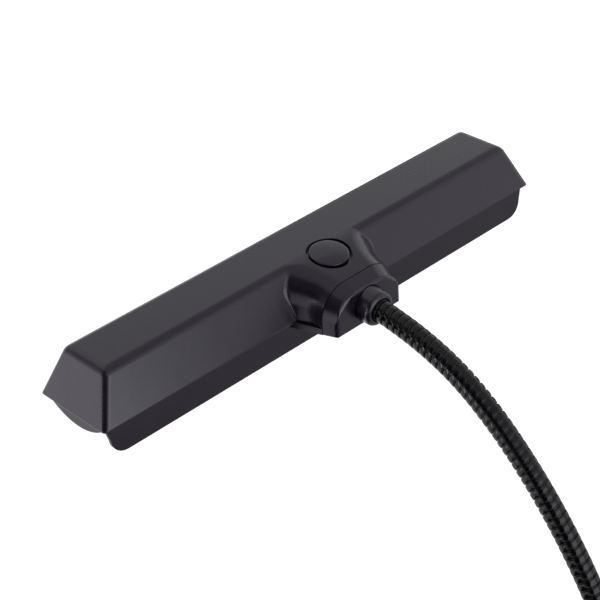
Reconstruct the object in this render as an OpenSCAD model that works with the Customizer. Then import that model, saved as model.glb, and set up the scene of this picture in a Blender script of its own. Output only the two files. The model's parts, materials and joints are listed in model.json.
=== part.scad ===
// Clip-on reading lamp: a wide LED head on a gooseneck that grows out of a spring clip.
// Frame: the origin is the middle of the closed jaws, +Z up the clip, +Y from the case
// towards the jaw lever and the head, X along the head.

/* [Head shell] */
// Length of the shell at its lower rim
rim_len = 266; // [230:1:300]
// Depth of the shell at its lower rim
rim_depth = 43.8; // [42:0.1:50]
// Length of the flat roof
roof_len = 245.2; // [225:0.1:255]
// Depth of the flat roof
roof_depth = 27.5; // [24:0.1:30]
// Height of the shell from rim to roof
shell_h = 22.9; // [22:0.1:28]
// Wall of the shell, the hood and the cover
shell_wall = 2; // [1.5:0.1:2.4]
// Radius of the rounded long edges of the roof
roof_edge_r = 2.5; // [1:0.1:4]

/* [Hood and neck cover] */
// Distance from the middle of the head to where the hood leaves the roof
hood_start = 12; // [10:0.1:12.4]
// Distance from the middle of the head to the seam between hood and cover
seam_reach = 34; // [32:0.1:38]
// Distance from the middle of the head to the front face of the cover
cover_reach = 41; // [39.5:0.1:46]
// Depth of the hood's top below the roof at the seam
seam_drop = 5.1; // [4:0.1:6]
// Depth of the cover's top below the roof at the front face
cover_drop = 9; // [8:0.1:9.5]
// Width of the hood where it leaves the roof
hood_root_w = 60; // [56:0.2:64]
// Width of the hood at the seam
hood_seam_w = 44.4; // [42:0.2:48]
// Width of the cover at its front face
cover_front_w = 39.2; // [37:0.2:42]
// Width of the hood's flat top at the seam
hood_top_w = 28; // [26:0.2:32]
// Drop of the slanted shoulders beside the flat top
shoulder_drop = 8; // [6:0.1:9]

/* [Button] */
// Diameter of the button cap
button_d = 18; // [15:0.1:18.5]
// Gap between the cap and its hole, all round
button_gap = 1.4; // [1:0.1:1.6]
// Travel of the button
button_travel = 1.2; // [0.8:0.1:1.4]
// Height of the cap's crown
button_crown = 1.1; // [0.6:0.1:1.6]

/* [Light frame and lens] */
// Height of the glare shield below the rim
shield_h = 15; // [11:0.1:18]
// Thickness of the glare shield
shield_t = 1.8; // [1.4:0.1:2.4]
// Radius of the shield's lower corners
shield_corner_r = 8; // [4:0.1:10]
// Sag of the arched end walls below the rim
end_sag = 7.6; // [7.2:0.1:9]
// Sag of the arched lens below its seat
lens_sag = 6.8; // [5:0.1:7]
// Wall of the lens
lens_t = 1.8; // [1.2:0.1:2.2]
// Gap between the frame and the shell around it
frame_gap = 0.4; // [0.3:0.05:0.5]
// Thickness of the plate that closes the hood from below
hood_plate_t = 3.1; // [2.6:0.1:3.6]
// Number of LEDs
led_count = 9; // [5:1:9]
// Distance between neighbouring LEDs
led_pitch = 24; // [18:0.5:25]

/* [Gooseneck] */
// Outer diameter over the rings
neck_d = 10.3; // [9.8:0.1:10.8]
// Depth of the grooves between rings
groove_depth = 0.6; // [0.4:0.05:0.7]
// Spacing of the rings
ring_pitch = 3.6667; // [3.5:0.05:3.9]
// Rings on each length of neck
rings_per_link = 6; // [5:1:7]
// Bend between neighbouring lengths in the lower part, degrees
lower_bend = 4.7; // [3:0.1:5.5]
// Bends between the last six lengths, from the middle to the head, degrees
upper_bends = [5.2, 5.7, 8.5, 12.5, 9.5];
// Diameter of the ball between two lengths
ball_d = 7.2; // [6.8:0.1:7.4]
// Radial clearance of the ball in its socket
ball_fit = 0.08; // [0.02:0.01:0.1]
// Diameter of the wire passage
wire_bore_d = 2.4; // [2:0.1:2.8]

/* [Neck fixing] */
// Diameter of the boss around the neck's end
boss_d = 17.5; // [16.5:0.1:18.5]
// Length of the boss outside the cover
boss_len = 7.6; // [6.5:0.1:9]
// Gap around the rings inside the boss
boss_gap = 1.1; // [0.8:0.1:1.4]
// Thread diameter of the ferrule
ferrule_d = 8; // [7:0.1:8.4]
// Thickness of the ferrule's collar
collar_t = 2; // [1.5:0.1:2.5]
// Width of the nut across its flats
nut_flats = 10.5; // [10:0.1:10.8]
// Height of the nut
nut_h = 4; // [3:0.1:4.4]

/* [Clip case] */
// Width of the case
case_w = 66; // [64:0.5:80]
// Thickness of the case
case_t = 22; // [21.5:0.1:26]
// Wall of the case
case_wall = 2; // [1.6:0.1:2.2]
// Height of the case above the middle of the jaws
case_top = 60; // [58:0.5:70]
// Depth of the case below the middle of the jaws
case_foot = 16; // [15.5:0.1:20]
// Room over the top cell, under the bay's shelf
cell_room = 1; // [0.5:0.1:3]
// Diameter of a cell
cell_d = 14.5; // [13.9:0.1:14.7]
// Length of a cell
cell_len = 50.5; // [49:0.1:51]
// Spacing of the cells
cell_pitch = 15.2; // [15:0.1:15.6]

/* [Jaws] */
// Width of the jaw lever
lever_w = 58; // [56:0.5:62]
// Thickness of the lever's plate
lever_t = 3; // [2.4:0.1:3.4]
// Height of the hinge above the middle of the jaws
hinge_z = 27; // [25:0.5:30]
// Distance of the hinge from the middle of the jaws
hinge_y = 9; // [8:0.1:10]
// Diameter of the hinge pin
pin_d = 3; // [2.5:0.1:3.4]
// Radial clearance of the lever on the pin
pin_fit = 0.06; // [0.02:0.01:0.1]
// Lean of the thumb plate away from the case, degrees
thumb_lean = 20; // [16:1:24]
// Length of the thumb plate above the hinge
thumb_len = 37; // [30:1:42]
// Thickness of the rubber pads
pad_t = 3; // [2:0.1:4]
// Gap between the closed pads
pad_gap = 0.4; // [0.2:0.05:0.8]
// Height of the pads
pad_h = 27; // [20:0.5:28]
// Width of the pads
pad_w = 50; // [40:0.5:54]

/* [Hidden] */
$fn = 48;
eps = 0.01;
far = 200;
part_fit = 0.2;

charcoal = [0.25, 0.25, 0.27];
black = [0.08, 0.08, 0.09];
steel = [0.72, 0.72, 0.74];
board_green = [0.1, 0.35, 0.2];

// ---- gooseneck chain: each length runs from one ball centre to the next ----
link_count = 14;
link_len = ring_pitch * rings_per_link;
neck_r = neck_d / 2;
core_r = neck_r - groove_depth;
ball_r = ball_d / 2;
socket_r = ball_r + ball_fit;
stem_r = 2.2;
wire_r = wire_bore_d / 2;
groove_at = 1.4;
lip_reach = 1;
stem_face = 2.7;
ring_half = ring_pitch / 2 - 0.4;
first_ring_cut = 0.76;
last_ring_cut = 0.63;
link_bends = concat([for (i = [1 : link_count - 6]) lower_bend], upper_bends);
function sum_to(list, n) = n <= 0 ? 0 : list[n - 1] + sum_to(list, n - 1);
function link_angle(i) = 90 - sum_to(link_bends, i - 1);
function link_way(i) = [0, cos(link_angle(i)), sin(link_angle(i))];
function joint_at(i) = i == 0 ? neck_root : joint_at(i - 1) + link_len * link_way(i);

// ---- neck fixing ----
boss_r = boss_d / 2;
mouth_r = neck_r + boss_gap;
ferrule_r = ferrule_d / 2;
collar_r = mouth_r - 0.3;
seat_depth = ring_pitch + collar_t;
fixing_wall = 5.2;
ferrule_len = fixing_wall + nut_h + 1.2;

// ---- clip ----
case_front = -(pad_gap / 2 + pad_t);
case_rear = case_front - case_t;
case_mid = (case_front + case_rear) / 2;
boss_top = case_top + boss_len;
neck_root = [0, case_mid, boss_top - groove_at];
back_t = case_wall;
cell_y = case_front - case_wall - 0.2 - cell_d / 2;
cell_z0 = -case_foot + case_wall + 0.6 + cell_d / 2;
cell_tip = 0.6;
contact_t = 0.7;
contact_w = 11;
rail_w = 2;
rail_t = 1.5;
screw_r = 1.2;
screw_hole_r = 1.25;
screw_head_r = 2.6;
screw_head_h = 1.8;
post_r = 3;
board_t = 1.6;
screw_len = 9;
screw_floor = 1.2;
screw_pass_r = screw_r + 0.4;
screw_slot_len = 3.2;
screw_slot_w = 0.6;
finger_groove_r = 0.6;
finger_groove_len = 24;
case_screw_head_h = 1;
case_screw_floor = 0.9;
case_screw_x = case_w / 2 - 7;
shelf_t = 1.5;
bay_top = cell_z0 + 2 * cell_pitch + cell_d / 2 + cell_room + shelf_t;
case_screw_z = (bay_top + case_top) / 2;
case_round = 4;
back_foot = bay_top - shelf_t + 0.1;
door_lip_t = 1.5;
door_web_t = 1.6;
door_rail_depth = part_fit + rail_t + part_fit + door_lip_t;
usb_w = 8;
usb_t = 3;
usb_len = 6;
usb_y = case_mid;
usb_z = bay_top + 7.5;
power_board_z = usb_z - usb_t / 2 - board_t;
power_board_len = 48;
power_board_d = 14;

// ---- jaws ----
lever_in = pad_gap / 2 + pad_t;
lever_foot = -case_foot + 1;
elbow_y = hinge_y + 5;
jaw_bend_h = 9;
elbow_z = hinge_z - 4;
thumb_foot_z = elbow_z + 6;
thumb_top = [elbow_y + thumb_len * sin(thumb_lean) + 2, hinge_z + thumb_len * cos(thumb_lean)];
thumb_face_lean = atan((thumb_top[0] - elbow_y) / (thumb_top[1] - thumb_foot_z));
eye_r = 4.2;
ear_t = 3.6;
lug_t = 4;
lug_x = lever_w / 2 - ear_t - 0.7 - lug_t / 2;
spring_wire = 0.7;
spring_coil_r = 3;
spring_coils = 9;
spring_arm = 13;
spring_case_lean = asin((hinge_y - spring_coil_r - spring_wire - part_fit - case_front) / spring_arm);
spring_lever_lean = thumb_face_lean - 1.2;

// ---- head ----
neck_way = link_way(link_count);
neck_tilt = link_angle(link_count);
// The middle of the roof, found from the neck's last joint through the boss.
mouth_from_roof = [0, -(cover_reach + boss_len * cos(neck_tilt)), -18.1];
mouth_at = joint_at(link_count) + groove_at * neck_way;
head_at = mouth_at - mouth_from_roof;
panel_lean = atan((rim_depth - roof_depth) / 2 / shell_h);
end_lean = atan((rim_len - roof_len) / 2 / shell_h);
hood_slope = atan(seam_drop / (seam_reach - hood_start));
button_y = -17.6;
button_z = -(-button_y - hood_start) * tan(hood_slope);
button_hole_r = button_d / 2 + button_gap;
flange_r = button_hole_r + 0.8;
flange_top = shell_wall + 0.6;
flange_t = 1.2;
stem_end = 6.2;
switch_top = stem_end + button_travel + 0.3;
switch_h = 3.4;
switch_base = switch_top + switch_h;
plunger_r = 1.6;
plunger_fit = 0.08;
switch_board_d = 11;
lead_r = 0.9;
switch_board_w = 38;
switch_post_x = 16;
switch_post_r = 2.5;
switch_w = 7;
plunger_len = 2.9;
led_post_x = [40, 85];
led_w = 5;
led_h = 1.4;
reflector_t = 0.9;
tongue_len = 2.5;
tongue_t = 1;
frame_bite = 0.5;
board_z = -9;
board_w = 14;
frame_wall = 1.6;
frame_top = -15;
frame_half_y = rim_depth / 2 - shell_wall / cos(panel_lean) - frame_gap;
frame_half_x = rim_len / 2 - shell_wall / cos(end_lean) - frame_gap;
ledge_top = -shell_h + 2;
ledge_t = 1.5;
ledge_in = frame_half_y - frame_wall - 2.6;
lens_seat = ledge_top - ledge_t;
lens_half = frame_half_y - frame_wall / cos(panel_lean) - (shell_h + lens_seat) * tan(panel_lean) - 0.3;
lens_end = frame_half_x - frame_wall / cos(end_lean) - (shell_h + lens_seat) * tan(end_lean) - part_fit;
lens_r = (pow(lens_half, 2) + pow(lens_sag, 2)) / 2 / lens_sag;
end_wall_r = (pow(frame_half_y, 2) + pow(end_sag, 2)) / 2 / end_sag;
deck_z = -17;
deck_t = 2;
end_screw_x = min(roof_len / 2 - 4, frame_half_x - frame_wall - 2 * post_r);
deck_in = end_screw_x - screw_head_r - 4;
ledge_end = end_screw_x - screw_head_r - 5.6;
board_len = 2 * (end_screw_x - post_r - 6.6);
hood_screw_x = 17;
hood_screw_y = -27.5;

// ---- helpers ----
module at_head() translate(head_at) children();

// Extrudes a profile given as [y, z] points along X, centred.
module along_x(len) rotate([90, 0, 90]) linear_extrude(height = len, center = true) children();

// Extrudes a profile given as [x, z] points along Y, centred.
module along_y(len) rotate([90, 0, 0]) linear_extrude(height = len, center = true) children();

module x_cylinder(r, len) rotate([0, 90, 0]) cylinder(r = r, h = len, center = true);

// Turns +Z to lie along the neck's length number i.
module along_link(i) rotate([link_angle(i) - 90, 0, 0]) children();

// The button's own frame: origin on the hood's top, +Z out of it.
module at_button() translate([0, button_y, button_z]) rotate([hood_slope, 0, 0]) children();

// A point of the button's frame, given as y and z there, in the head's frame.
function on_button(y, z) = [
    0,
    button_y + y * cos(hood_slope) - z * sin(hood_slope),
    button_z + y * sin(hood_slope) + z * cos(hood_slope)];

// The neck boss's frame in the head: origin at its mouth, +Z into the head.
module at_mouth() translate(mouth_from_roof) along_link(link_count) children();

// Points of an arc that rounds a corner, from angle a to angle b.
function arc(c, r, a, b, n = 4) =
    [for (k = [0 : n]) c + r * [cos(a + (b - a) * k / n), sin(a + (b - a) * k / n)]];

// Half trapezoid section: flat top, leaning side, with the top edge rounded.
function top_edge(half, top, lean, r) = arc([half - r * tan(45 - lean / 2), top - r], r, lean, 90);

function mirrored(points) = [for (k = [len(points) - 1 : -1 : 0]) [-points[k][0], points[k][1]]];

// Closed section of a tapering box: its foot at z = low, its top at z = top.
function taper_section(foot, top_half, low, top, lean, r) =
    let (side = concat([[foot, low]], top_edge(top_half, top, lean, r)))
    concat(side, mirrored(side));

// The head's tapering box, moved inwards by inset and open below when extra > 0.
module head_box(inset, extra = 0) {
    side = inset / cos(panel_lean);
    ends = inset / cos(end_lean);
    low = -shell_h - extra;
    edge = max(roof_edge_r - inset, 0.4);
    intersection() {
        along_x(rim_len + far)
            polygon(taper_section(
                rim_depth / 2 - side + extra * tan(panel_lean),
                roof_depth / 2 - side + inset * tan(panel_lean), low, -inset, panel_lean, edge));
        along_y(rim_depth + far)
            polygon(taper_section(
                rim_len / 2 - ends + extra * tan(end_lean),
                roof_len / 2 - ends + inset * tan(end_lean), low, -inset, end_lean, edge));
    }
}

// A thin slice of the hood's six-sided section at distance reach from the head's middle.
module hood_slice(reach, half, top_half, top, inset, low) {
    translate([0, -reach, 0]) along_y(eps)
        polygon([
            [-half + inset, low], [half - inset, low],
            [half - inset, top - shoulder_drop - inset / 2], [top_half - inset / 2, top - inset],
            [-top_half + inset / 2, top - inset], [-half + inset, top - shoulder_drop - inset / 2]]);
}

module hood_body(inset, low, front = 0) {
    hull() {
        hood_slice(hood_start, hood_root_w / 2, hood_top_w / 2 + 8, 0, inset, low);
        hood_slice(seam_reach + front, hood_seam_w / 2, hood_top_w / 2, -seam_drop, inset, low);
    }
}

module cover_body(inset, low) {
    hull() {
        hood_slice(seam_reach, hood_seam_w / 2, hood_top_w / 2, -seam_drop, inset, low);
        hood_slice(cover_reach - inset, cover_front_w / 2, hood_top_w / 2 - 2, -cover_drop, inset, low);
    }
}

// Screw along +Z: its origin is under the head, whose height is head_h.
module screw(head_h) {
    cylinder(r = screw_r, h = screw_len);
    difference() {
        translate([0, 0, -head_h]) cylinder(r = screw_head_r, h = head_h);
        for (a = [0, 90]) rotate([0, 0, a])
            translate([-screw_slot_len / 2, -screw_slot_w / 2, -head_h - eps])
                cube([screw_slot_len, screw_slot_w, 0.6]);
    }
}

// Ferrule: a collar that seats in the boss and a threaded tube through its wall.
module ferrule() {
    difference() {
        union() {
            translate([0, 0, ring_pitch]) cylinder(r = collar_r, h = collar_t);
            translate([0, 0, seat_depth - eps]) cylinder(r = ferrule_r, h = ferrule_len + eps);
        }
        translate([0, 0, -1]) cylinder(r = wire_r, h = far);
    }
}

module neck_nut() {
    translate([0, 0, seat_depth + fixing_wall]) difference() {
        cylinder(r = nut_flats / 2 / cos(30), h = nut_h, $fn = 6);
        translate([0, 0, -1]) cylinder(r = ferrule_r + 0.05, h = nut_h + 2);
    }
}

module boss_solid(len) cylinder(r = boss_r, h = len);

module boss_hollow() {
    translate([0, 0, -1]) cylinder(r = mouth_r, h = seat_depth + 1);
    translate([0, 0, -1]) cylinder(r = ferrule_r + 0.1, h = far);
}

// ---- head pieces ----
module head_shell() {
    color(charcoal) at_head() difference() {
        union() {
            head_box(0);
            hood_body(0, -shell_h);
        }
        difference() {
            union() {
                head_box(shell_wall, 1);
                hood_body(shell_wall, -shell_h - 1, 1);
            }
            shell_posts();
        }
        at_button() translate([0, 0, -far / 2]) cylinder(r = button_hole_r, h = far);
        at_button() translate([0, 0, -flange_top - 6]) cylinder(r = flange_r + 0.4, h = 6.3);
        screw_holes();
    }
}

module shell_posts() {
    for (s = [-1, 1]) {
        translate([s * end_screw_x, 0, deck_z]) cylinder(r = post_r, h = far);
        translate([s * hood_screw_x, hood_screw_y, -shell_h]) cylinder(r = post_r, h = far);
        for (x = led_post_x) translate([s * x, 0, board_z]) cylinder(r = post_r, h = far);
        at_button() translate([s * switch_post_x, 0, -switch_base]) cylinder(r = switch_post_r, h = far);
    }
}

module screw_holes() {
    for (s = [-1, 1]) {
        translate([s * end_screw_x, 0, deck_z - 1]) cylinder(r = screw_hole_r, h = screw_len + 1);
        translate([s * hood_screw_x, hood_screw_y, -shell_h - 1])
            cylinder(r = screw_hole_r, h = screw_len + 1);
    }
}

// The layer of space from distance from to distance from + deep inwards of the seam.
module seam_slab(from, deep) translate([-far / 2, -seam_reach + from, -far / 2]) cube([far, deep, far]);

module neck_cover() {
    low = -shell_h - part_fit - hood_plate_t;
    color(charcoal) at_head() difference() {
        union() {
            difference() {
                translate([0, -part_fit, 0]) cover_body(0, low);
                translate([0, eps, 0]) cover_body(shell_wall, low + shell_wall);
            }
            // tongue that slips into the hood, and its root inside the cover
            difference() {
                union() {
                    intersection() {
                        hood_body(shell_wall + part_fit, -shell_h);
                        seam_slab(-eps, tongue_len);
                    }
                    intersection() {
                        cover_body(shell_wall / 2, -shell_h);
                        seam_slab(-tongue_len, tongue_len);
                    }
                }
                hood_body(shell_wall + part_fit + tongue_t, -shell_h + tongue_t, tongue_len + 1);
            }
            at_mouth() boss_solid(seat_depth + fixing_wall);
        }
        at_mouth() boss_hollow();
    }
}

module shield_outline() {
    half = frame_half_x;
    low = -shell_h - shield_h;
    r = shield_corner_r;
    draft = 2;
    polygon(concat(
        [[-half, -shell_h + frame_bite], [-half, -shell_h]],
        [for (p = arc([-half + draft + r, low + r], r, 180, 270, 6)) p],
        [for (p = arc([half - draft - r, low + r], r, 270, 360, 6)) p],
        [[half, -shell_h], [half, -shell_h + frame_bite]]));
}

module light_frame() {
    color(charcoal) at_head() difference() {
        union() {
            // sleeve inside the shell, parallel to its walls
            intersection() {
                difference() {
                    head_box(shell_wall + frame_gap);
                    head_box(shell_wall + frame_gap + frame_wall, 1);
                }
                translate([-far, -far, -shell_h - 1]) cube([2 * far, 2 * far, frame_top + shell_h + 1]);
            }
            // glare shield on the neck's side
            translate([0, -frame_half_y + shield_t / 2, 0]) along_y(shield_t) shield_outline();
            end_walls();
            // ledge that the lens and the reflector seat on
            difference() {
                translate([-frame_half_x + 1, -frame_half_y + 1, lens_seat])
                    cube([2 * frame_half_x - 2, 2 * frame_half_y - 2, ledge_t]);
                translate([-ledge_end, -ledge_in, lens_seat - 1])
                    cube([2 * ledge_end, 2 * ledge_in, ledge_t + 2]);
            }
            screw_decks();
            hood_plate();
        }
        for (s = [-1, 1]) {
            translate([s * end_screw_x, 0, lens_seat - 1])
                cylinder(r = screw_head_r + 0.6, h = deck_z - deck_t - lens_seat + 1);
            translate([s * end_screw_x, 0, deck_z - deck_t - 1]) cylinder(r = screw_pass_r, h = deck_t + 2);
            translate([s * hood_screw_x, hood_screw_y, -far]) cylinder(r = screw_pass_r, h = far);
            translate([s * hood_screw_x, hood_screw_y, -shell_h - part_fit - hood_plate_t - 1])
                cylinder(r = screw_head_r + 0.3, h = 1 + hood_plate_t - screw_floor);
        }
    }
}

module end_walls() {
    for (s = [-1, 1]) intersection() {
        translate([s * (frame_half_x - frame_wall / 2), 0, -shell_h - end_sag + end_wall_r])
            x_cylinder(end_wall_r, frame_wall);
        translate([-far, -frame_half_y, -shell_h - end_sag - 1])
            cube([2 * far, 2 * frame_half_y, end_sag + 1 + frame_bite]);
    }
}

module screw_decks() {
    for (s = [-1, 1])
        intersection() {
            translate([s > 0 ? deck_in : -frame_half_x, -frame_half_y, deck_z - deck_t])
                cube([frame_half_x - deck_in, 2 * frame_half_y, deck_t]);
            head_box(shell_wall + frame_gap);
        }
}

// Plate under the hood; its edge lines up with the hood's side walls.
module hood_plate() {
    low = -shell_h - part_fit - hood_plate_t;
    root = (hood_root_w - hood_seam_w) / (seam_reach - hood_start);
    wide = hood_seam_w / 2 + root / 2 * (seam_reach - frame_half_y);
    translate([0, 0, low]) linear_extrude(height = hood_plate_t)
        polygon([
            [-wide, -frame_half_y + 1], [wide, -frame_half_y + 1],
            [hood_seam_w / 2, -seam_reach], [-hood_seam_w / 2, -seam_reach]]);
}

module lens() {
    color([0.93, 0.94, 0.95, 0.6]) at_head() translate([0, 0, lens_seat - lens_sag + lens_r])
        intersection() {
            difference() {
                x_cylinder(lens_r, 2 * lens_end);
                x_cylinder(lens_r - lens_t, 2 * lens_end + 2);
            }
            translate([-far, -far, -lens_r - 1]) cube([2 * far, 2 * far, lens_sag + 1]);
        }
}

module reflector() {
    t = reflector_t;
    foot = board_w / 2 - 1.5;
    rim = ledge_in + 0.2;
    low = ledge_top;
    up = board_z - board_t;
    color("white") at_head() along_x(board_len)
        for (s = [-1, 1])
            polygon([
                [s * foot, up], [s * (foot + t), up], [s * rim, low + t], [s * (rim + t), low + t],
                [s * (rim + t), low], [s * (rim - t), low]]);
}

module led_board() {
    color(board_green) at_head()
        translate([-board_len / 2, -board_w / 2, board_z - board_t]) cube([board_len, board_w, board_t]);
}

module leds() {
    color([1, 0.95, 0.7]) at_head() for (k = [0 : led_count - 1])
        translate([(k - (led_count - 1) / 2) * led_pitch, 0, board_z - board_t]) {
            translate([-led_w / 2, -led_w / 2, -led_h]) cube([led_w, led_w, led_h]);
            translate([0, 0, -led_h - 0.6]) cylinder(r = led_w / 2 - 0.5, h = 0.6 + eps);
        }
}

module switch_board() {
    color(board_green) at_head() at_button()
        translate([-switch_board_w / 2, -switch_board_d / 2, -switch_base - board_t])
            cube([switch_board_w, switch_board_d, board_t]);
}

module push_switch() {
    color(black) at_head() at_button() difference() {
        translate([-switch_w / 2, -switch_w / 2, -switch_base]) cube([switch_w, switch_w, switch_h]);
        translate([0, 0, -switch_base + 0.6]) cylinder(r = plunger_r + plunger_fit, h = switch_h);
    }
}

module switch_plunger() {
    color("ivory") at_head() at_button()
        translate([0, 0, -stem_end - plunger_len]) cylinder(r = plunger_r, h = plunger_len);
}

module power_button() {
    cap_r = button_d / 2;
    crown_r = (pow(cap_r, 2) + pow(button_crown, 2)) / 2 / button_crown;
    color(charcoal) at_head() at_button() {
        translate([0, 0, -flange_top - flange_t]) {
            cylinder(r = flange_r, h = flange_t);
            cylinder(r = cap_r, h = flange_top + flange_t - eps);
        }
        intersection() {
            translate([0, 0, button_crown - crown_r]) sphere(r = crown_r);
            translate([0, 0, -1]) cylinder(r = cap_r, h = 1 + button_crown + 1);
        }
        translate([0, 0, -stem_end]) cylinder(r = plunger_r + 0.8, h = stem_end);
    }
}

module frame_screws() {
    color(steel) at_head() for (s = [-1, 1]) {
        translate([s * end_screw_x, 0, deck_z - deck_t]) screw(screw_head_h);
        translate([s * hood_screw_x, hood_screw_y, -shell_h - part_fit - screw_floor]) screw(screw_head_h);
    }
}

module head_ferrule() color(steel) at_head() at_mouth() ferrule();

module head_nut() color(steel) at_head() at_mouth() neck_nut();

// Leads inside the head: from the neck's ferrule to the switch board, and on to the LED board.
module head_lead() {
    from_neck = mouth_from_roof + (seat_depth + ferrule_len) * neck_way;
    board_edge = on_button(-switch_board_d / 2 - lead_r / 3, -switch_base - board_t / 2);
    board_top = on_button(3, -switch_base + lead_r);
    color(black) at_head() {
        rod(from_neck, board_edge, lead_r);
        translate([switch_w + 5, 0, 0])
            rod(board_top, [0, 0.8 - board_w / 2, board_z + lead_r * 1.9], lead_r);
    }
}

// A round rod between two points of the plane x = 0.
module rod(a, b, r) {
    way = b - a;
    translate(a) rotate([atan2(way[2], way[1]) - 90, 0, 0]) cylinder(r = r, h = norm(way));
}

// ---- gooseneck ----
// Profile of the rings from ring first to ring last, as [radius, height] points.
function ring_points(first, last) =
    [for (k = [first : last])
        for (p = ring_arc(groove_at + (k + 0.5) * ring_pitch, k == first, k == last)) p];

// One rounded ring; the end rings stop short to let the joint turn.
function ring_arc(at, is_first, is_last) =
    let (low = is_first ? -first_ring_cut : -1, high = is_last ? last_ring_cut : 1)
    [for (t = [low, low / 2, 0, high / 2, high])
        [core_r + groove_depth * (1 - pow(t, 2)) * ring_bulge(t), at + t * ring_half]];
function ring_bulge(t) = abs(t) < 0.99 ? 1 : 0;

module neck_link(i) {
    first = i == 1 ? -1 : 0;
    last = i == link_count ? rings_per_link : rings_per_link - 1;
    has_ball = i > 1;
    has_socket = i < link_count;
    foot = groove_at + first * ring_pitch;
    top = has_socket ? link_len + lip_reach : groove_at + (last + 1) * ring_pitch;
    low_face = has_ball ? stem_face : foot;
    color(black) translate(joint_at(i - 1)) along_link(i) difference() {
        union() {
            rotate_extrude() polygon(concat(
                [[0, low_face], has_ball ? [stem_r, low_face] : [core_r - 0.3, low_face]],
                has_ball ? [[ball_r, low_face - 0.2]] : [],
                ring_points(first, last),
                [[has_socket ? socket_r + 0.3 : core_r - 0.3, top], [0, top]]));
            if (has_ball) {
                sphere(r = ball_r);
                cylinder(r = stem_r, h = stem_face + 0.5);
            }
        }
        if (has_socket) translate([0, 0, link_len]) sphere(r = socket_r);
        translate([0, 0, -far / 2]) cylinder(r = wire_r, h = far);
    }
}

// ---- clip ----
module at_clip_mouth() translate([0, case_mid, boss_top]) mirror([0, 0, 1]) children();

module clip_ferrule() color(steel) at_clip_mouth() ferrule();

module clip_nut() color(steel) at_clip_mouth() neck_nut();

module clip_case() {
    inner_x = case_w / 2 - case_wall;
    top_in = boss_top - seat_depth - fixing_wall;
    color(charcoal) difference() {
        union() {
            case_shell(inner_x);
            // shelf over the battery bay
            translate([-inner_x - eps, case_rear + back_t + part_fit, bay_top - shelf_t])
                cube([2 * inner_x + 2 * eps, case_t - back_t - 1, shelf_t]);
            // boss for the neck
            intersection() {
                at_clip_mouth() boss_solid(boss_top - top_in);
                translate([-far, case_rear + back_t + part_fit, 0]) cube([2 * far, far, far]);
            }
            hinge_lugs();
            for (s = [-1, 1]) translate([s * case_screw_x, case_front - 1, case_screw_z])
                rotate([90, 0, 0]) cylinder(r = post_r, h = case_t - back_t - 1 - part_fit);
        }
        at_clip_mouth() boss_hollow();
        for (s = [-1, 1]) translate([s * case_screw_x, case_rear + back_t + screw_len + 1, case_screw_z])
            rotate([90, 0, 0]) cylinder(r = screw_hole_r, h = 30);
        // window for the USB socket
        translate([-case_w / 2 - 1, usb_y - usb_w / 2 - part_fit, usb_z - usb_t / 2 - part_fit])
            cube([case_wall + 2, usb_w + 2 * part_fit, usb_t + 2 * part_fit]);
    }
}

module case_shell(inner_x) {
    rear = case_rear + back_t + part_fit;
    difference() {
        translate([0, 0, -case_foot]) intersection() {
            case_block(case_top + case_foot);
            translate([-far, rear, -1]) cube([2 * far, far, far]);
        }
        // battery bay
        translate([-inner_x, case_rear - 1, -case_foot + case_wall])
            cube([2 * inner_x, case_t - case_wall + 1, bay_top - shelf_t + case_foot - case_wall]);
        // slot in the foot for the door's rails and end wall
        translate([-inner_x, case_rear - 1, -case_foot - 1])
            cube([2 * inner_x, 1 + back_t + door_rail_depth + part_fit, case_wall + 2]);
        // electronics bay
        translate([-inner_x, case_rear - 1, bay_top])
            cube([2 * inner_x, case_t - case_wall + 1, case_top - case_wall - bay_top]);
    }
    // ledges that hold the door's rails
    for (s = [-1, 1]) translate([s * (inner_x - rail_w / 2) - rail_w / 2, rear, -case_foot + case_wall])
        cube([rail_w, rail_t, bay_top + case_foot - case_wall - shelf_t]);
}

// The case's outer block: its front corners are rounded.
module case_block(len) {
    w = case_w / 2;
    r = case_round;
    linear_extrude(height = len) polygon(concat(
        [[-w, case_rear], [w, case_rear]],
        arc([w - r, case_front - r], r, 0, 90, 6),
        arc([-w + r, case_front - r], r, 90, 180, 6)));
}

module hinge_lugs() {
    for (s = [-1, 1]) translate([s * lug_x, 0, 0]) difference() {
        union() {
            translate([0, hinge_y, hinge_z]) x_cylinder(eye_r, lug_t);
            translate([-lug_t / 2, case_front - 0.5, hinge_z - eye_r - 1.3])
                cube([lug_t, hinge_y - case_front + 0.5, 2 * eye_r + 1.1]);
        }
        translate([0, hinge_y, hinge_z]) x_cylinder(pin_d / 2 + 0.02, lug_t + 2);
    }
}

module case_back() {
    color(charcoal) difference() {
        intersection() {
            translate([0, 0, back_foot]) case_block(case_top - back_foot);
            translate([-far, case_rear - 1, -far]) cube([2 * far, back_t + 1, 2 * far]);
        }
        for (s = [-1, 1]) translate([s * case_screw_x, case_rear, case_screw_z]) rotate([-90, 0, 0]) {
            translate([0, 0, -1]) cylinder(r = screw_pass_r, h = back_t + 2);
            translate([0, 0, -1]) cylinder(r = screw_head_r + 0.3, h = 1 + back_t - case_screw_floor);
        }
    }
}

module case_screws() {
    color(steel) for (s = [-1, 1])
        translate([s * case_screw_x, case_rear + back_t - case_screw_floor, case_screw_z])
            rotate([-90, 0, 0]) screw(case_screw_head_h);
}

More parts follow.
